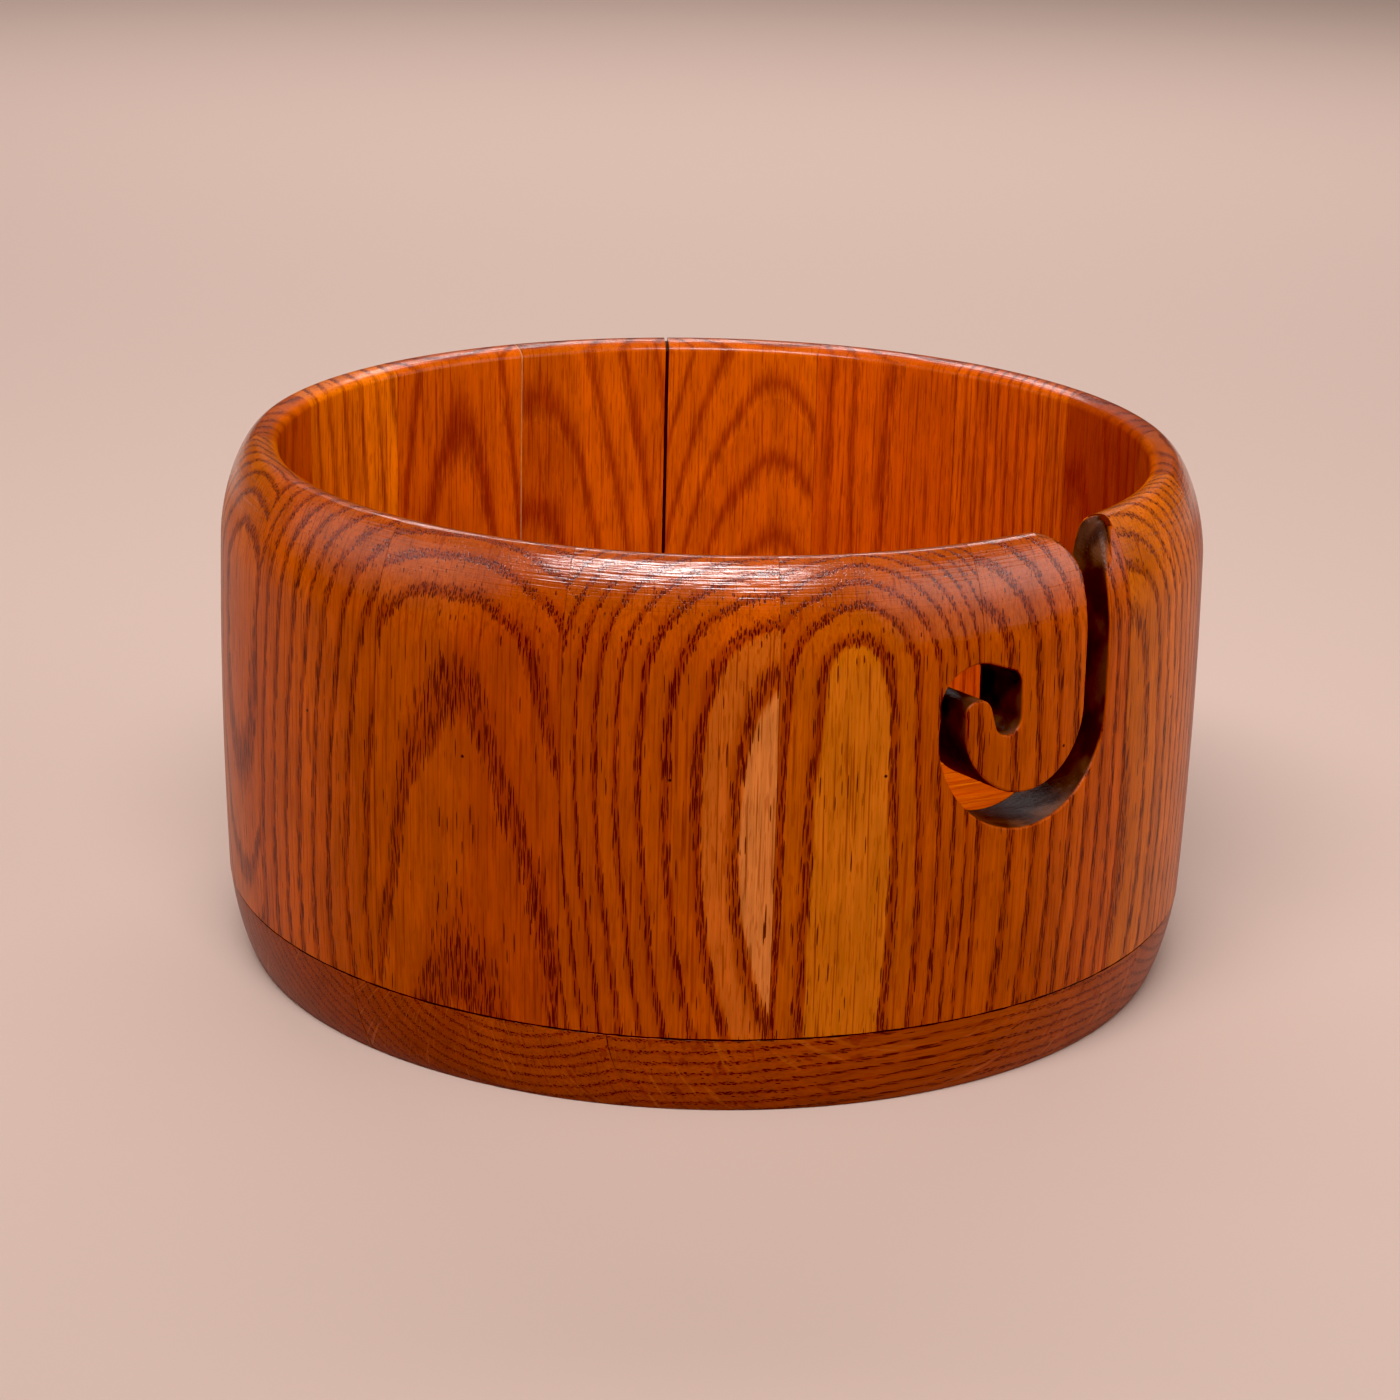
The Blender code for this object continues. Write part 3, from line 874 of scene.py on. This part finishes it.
# ------------------------------------------------------------- glue in the base
# Glue films between the base boards, and a dark one under the ring of staves,
# all drawn in a little so that they stay just inside the turned wood.
base_film = glue_width * 0.96
film_shrink = 0.9995
base_sheets = []
for i, joint in enumerate(joints):
    base_sheets.append(rip(base_disc, f"base_glue_{i}", joint - base_film / 2, joint + base_film / 2))
bpy.ops.object.select_all(action="DESELECT")
for sheet in base_sheets:
    sheet.scale = (film_shrink, film_shrink, film_shrink)
    sheet.select_set(True)
bpy.context.view_layer.objects.active = base_sheets[0]
bpy.ops.object.transform_apply()
bpy.ops.object.join()
base_glue = bpy.context.object
base_glue.name = "base_glue_lines"
base_glue.data.materials.append(glue_material("base_glue", (0.05, 0.009, 0.003)))
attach(base_glue, "root")
bpy.data.objects.remove(base_disc)

film_inner = bore_radius + 0.0002
film_outer = belly(base_top) - 2.2 * arris
film_low = base_top + glue_width * 0.02
film_high = base_top + base_film
seam_section = [(film_inner, film_low), (film_inner, film_high),
                (film_outer, film_high), (film_outer, film_low)]
bpy.ops.mesh.primitive_circle_add(vertices=384, radius=film_inner, location=(0, 0, film_low))
ring_glue = bpy.context.object
ring_glue.name = "ring_glue_line"
bpy.ops.object.mode_set(mode="EDIT")
bpy.ops.mesh.select_all(action="SELECT")
for near, far in zip(seam_section, seam_section[1:] + seam_section[:1]):
    bpy.ops.mesh.extrude_region_move(TRANSFORM_OT_translate={"value": (0, 0, far[1] - near[1])})
    bpy.ops.transform.resize(value=(far[0] / near[0], far[0] / near[0], 1.0),
                             center_override=(0, 0, far[1]))
bpy.ops.mesh.select_all(action="SELECT")
bpy.ops.mesh.remove_doubles(threshold=0.00001)
bpy.ops.mesh.normals_make_consistent(inside=False)
bpy.ops.object.mode_set(mode="OBJECT")
bpy.ops.object.transform_apply()
ring_glue.data.materials.append(glue_material("ring_glue", (0.015, 0.005, 0.003)))
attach(ring_glue, "root")


# ----------------------------------------------------------------- floor, light
# A plain pale sweep that rises far away on every side, four soft lights round
# the bowl and an even, weak pale surround.
bpy.ops.mesh.primitive_circle_add(vertices=96, radius=2.6, fill_type="NGON")
floor = bpy.context.object
floor.name = "studio_floor"
bpy.ops.object.mode_set(mode="EDIT")
bpy.ops.mesh.select_all(action="SELECT")
for i in range(12):
    slope = math.radians(7.5 * (i + 0.5))
    bpy.ops.mesh.extrude_region_move(TRANSFORM_OT_translate={"value": (0, 0, 0.20 * math.sin(slope))})
    bpy.ops.transform.resize(value=(1 + 0.07 * math.cos(slope),) * 2 + (1.0,), center_override=(0, 0, 0))
bpy.ops.mesh.delete(type="ONLY_FACE")
bpy.ops.object.mode_set(mode="OBJECT")
bpy.ops.object.shade_smooth_by_angle(angle=math.radians(40))
sweep = bpy.data.materials.new("pale_sweep")
sweep.use_nodes = True
sweep.node_tree.nodes["Principled BSDF"].inputs["Base Color"].default_value = (0.40, 0.290, 0.247, 1.0)
sweep.node_tree.nodes["Principled BSDF"].inputs["Roughness"].default_value = 0.9
sweep.node_tree.nodes["Principled BSDF"].inputs["Specular IOR Level"].default_value = 0.1
floor.data.materials.append(sweep)

world = bpy.data.worlds.new("studio")
bpy.context.scene.world = world
world.use_nodes = True
world.node_tree.nodes["Background"].inputs["Color"].default_value = (1.0, 0.93, 0.90, 1.0)
world.node_tree.nodes["Background"].inputs["Strength"].default_value = 0.15


def soft_light(name, azimuth, place, aim, size, power, spread):
    """A rectangular soft light; place and aim are a distance from the bowl's axis and a height."""
    def spot(point):
        return on_azimuth(point[0], azimuth, point[1])

    bpy.ops.object.light_add(type="AREA", location=spot(place))
    light = bpy.context.object
    light.name = name
    light.rotation_euler = (spot(aim) - spot(place)).to_track_quat("-Z", "Y").to_euler()
    light.data.shape = "RECTANGLE"
    light.data.size, light.data.size_y = size
    light.data.energy = power
    light.data.spread = math.radians(spread)


soft_light("front_softbox", -48, (0.78, 1.11), (-0.15, 0.06), (1.2, 0.22), 6.3, 70)
soft_light("right_softbox", 35, (1.5, 0.60), (0.0, 0.05), (2.2, 1.1), 5.0, 90)
soft_light("left_softbox", -118, (1.5, 0.60), (0.0, 0.05), (2.0, 1.1), 1.9, 90)
soft_light("back_softbox", 142, (1.3, 1.35), (1.12, 0.0), (1.8, 0.5), 15.5, 120)
